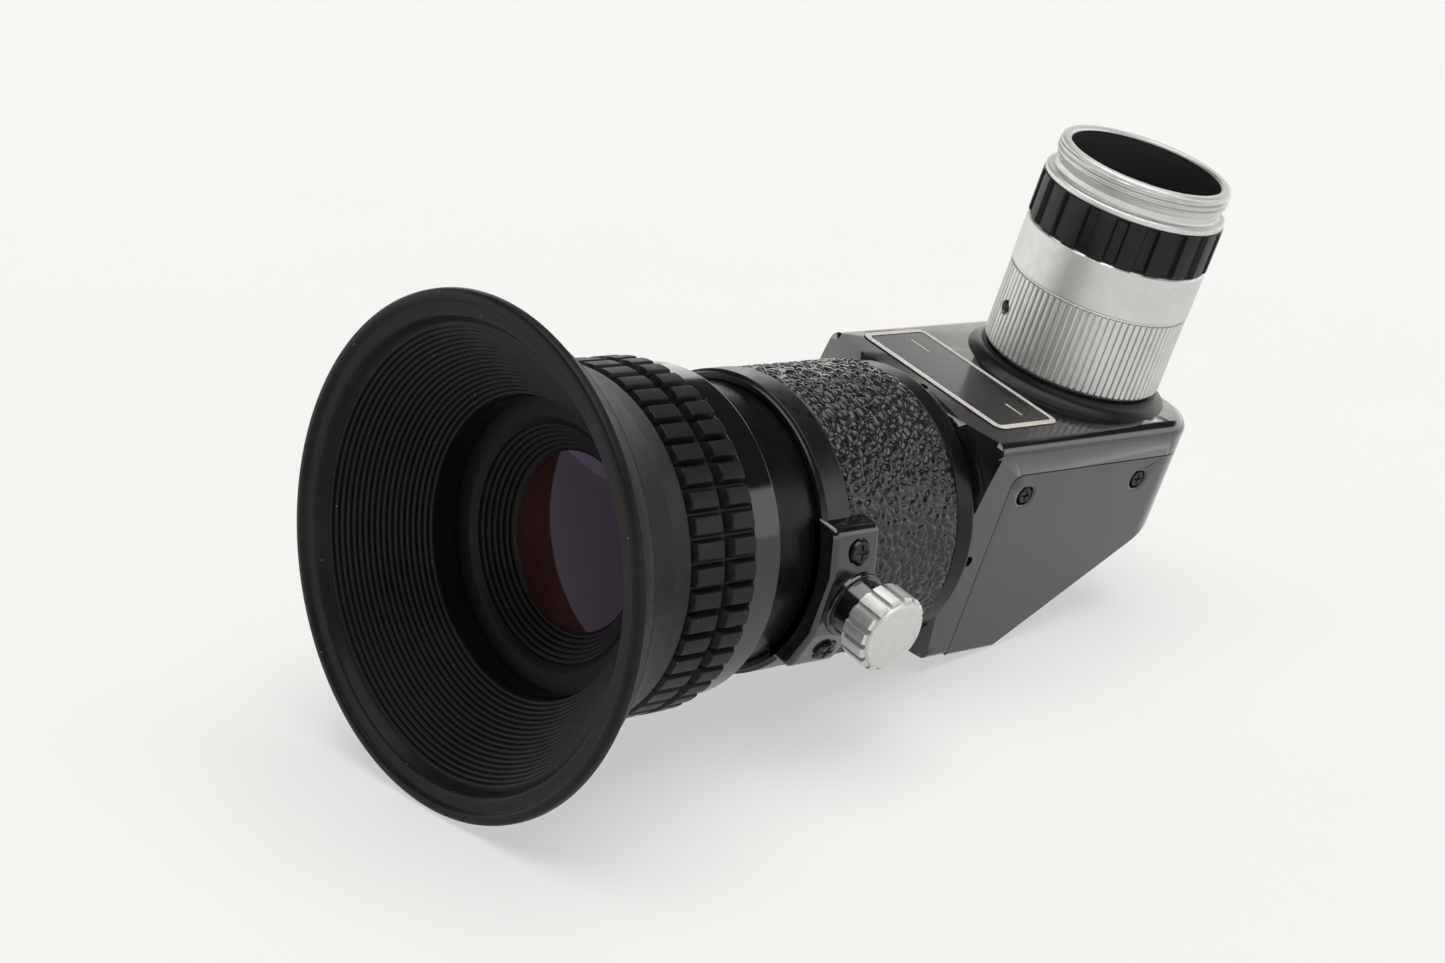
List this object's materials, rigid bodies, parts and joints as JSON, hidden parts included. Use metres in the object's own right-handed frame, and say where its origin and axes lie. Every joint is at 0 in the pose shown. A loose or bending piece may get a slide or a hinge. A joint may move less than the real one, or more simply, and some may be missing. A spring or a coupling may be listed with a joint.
{
  "type": "right-angle finder",
  "caption": "Right-angle viewing finder: swivelling threaded coupling, black prism housing, leatherette barrel with rack focusing and a large ribbed rubber eyecup.",
  "frame": {"origin": "centre of the seat face under the camera thread, on the coupling axis", "axes": "+Z along the coupling axis out towards the camera, -Y along the barrel axis out to the eyecup, +X to the side with the focusing knob"},
  "size_m": [0.049, 0.0924, 0.0631],
  "materials": {
    "black_enamel": "glossy black enamel over cast metal",
    "satin_black": "satin black anodised metal",
    "gloss_black": "polished black ring",
    "rubber": "moulded soft black rubber",
    "leatherette": "pebbled black leatherette",
    "satin_silver": "satin chromed metal",
    "bright_steel": "bright steel",
    "dark_steel": "blackened steel screws",
    "brass": "machined brass",
    "label": "etched black plate with a cream border",
    "prism_glass": "polished prism glass",
    "coated_glass": "coated lens glass with a violet and amber cast"
  },
  "bodies": {
    "housing": {"prism_housing": "black_enamel", "prism_cover": "black_enamel", "cover_screws": "dark_steel", "label_plate": "label", "prism_holder": "satin_black", "roof_prism": "prism_glass", "prism_spring": "brass", "spring_screws": "bright_steel", "swivel_socket": "black_enamel", "barrel_tube": "satin_black", "leatherette_sleeve": "leatherette", "front_ring": "satin_black", "barrel_screws": "dark_steel", "knob_bracket": "black_enamel", "bracket_screws": "dark_steel", "shaft_bush": "black_enamel"},
    "coupling": {"swivel_tube": "satin_silver", "swivel_circlip": "bright_steel", "knurled_collar": "satin_silver", "collar_screws": "dark_steel", "objective_lens": "coated_glass", "lens_ring": "satin_black", "sleeve_retainer": "bright_steel"},
    "thread_ring": {"ribbed_ring": "satin_black", "threaded_sleeve": "satin_silver"},
    "eyepiece": {"draw_tube": "satin_black", "focus_rack": "brass", "rack_screws": "bright_steel", "field_stop": "satin_black", "eyepiece_ring": "gloss_black", "field_lens": "coated_glass", "lens_spacer": "satin_black", "eye_lens": "coated_glass", "lens_retainer": "satin_black", "eyecup": "rubber"},
    "knob": {"focus_knob": "satin_silver", "knob_grub_screw": "dark_steel", "focus_shaft": "bright_steel", "focus_pinion": "brass", "friction_washer": "bright_steel"}
  },
  "joints": [
    {"name": "finder_swivel", "type": "hinge", "parent": "housing", "child": "coupling", "pos_m": [0, 0, -0.02], "axis": [0, 0, 1], "continuous": true},
    {"name": "thread_spin", "type": "hinge", "parent": "coupling", "child": "thread_ring", "pos_m": [0, 0, -0.003], "axis": [0, 0, 1], "continuous": true},
    {"name": "eyepiece_slide", "type": "slide", "parent": "housing", "child": "eyepiece", "axis": [0, 1, 0], "range_m": [-0.002, 0.002]},
    {"name": "knob_turn", "type": "hinge", "parent": "housing", "child": "knob", "pos_m": [0.018, -0.0443, -0.0353], "axis": [1, 0, 0], "range_deg": [-38.5, 38.5]}
  ],
  "couplings": [
    {"joint": "knob_turn", "follows": "eyepiece_slide", "rad_per_m": -333.33}
  ]
}
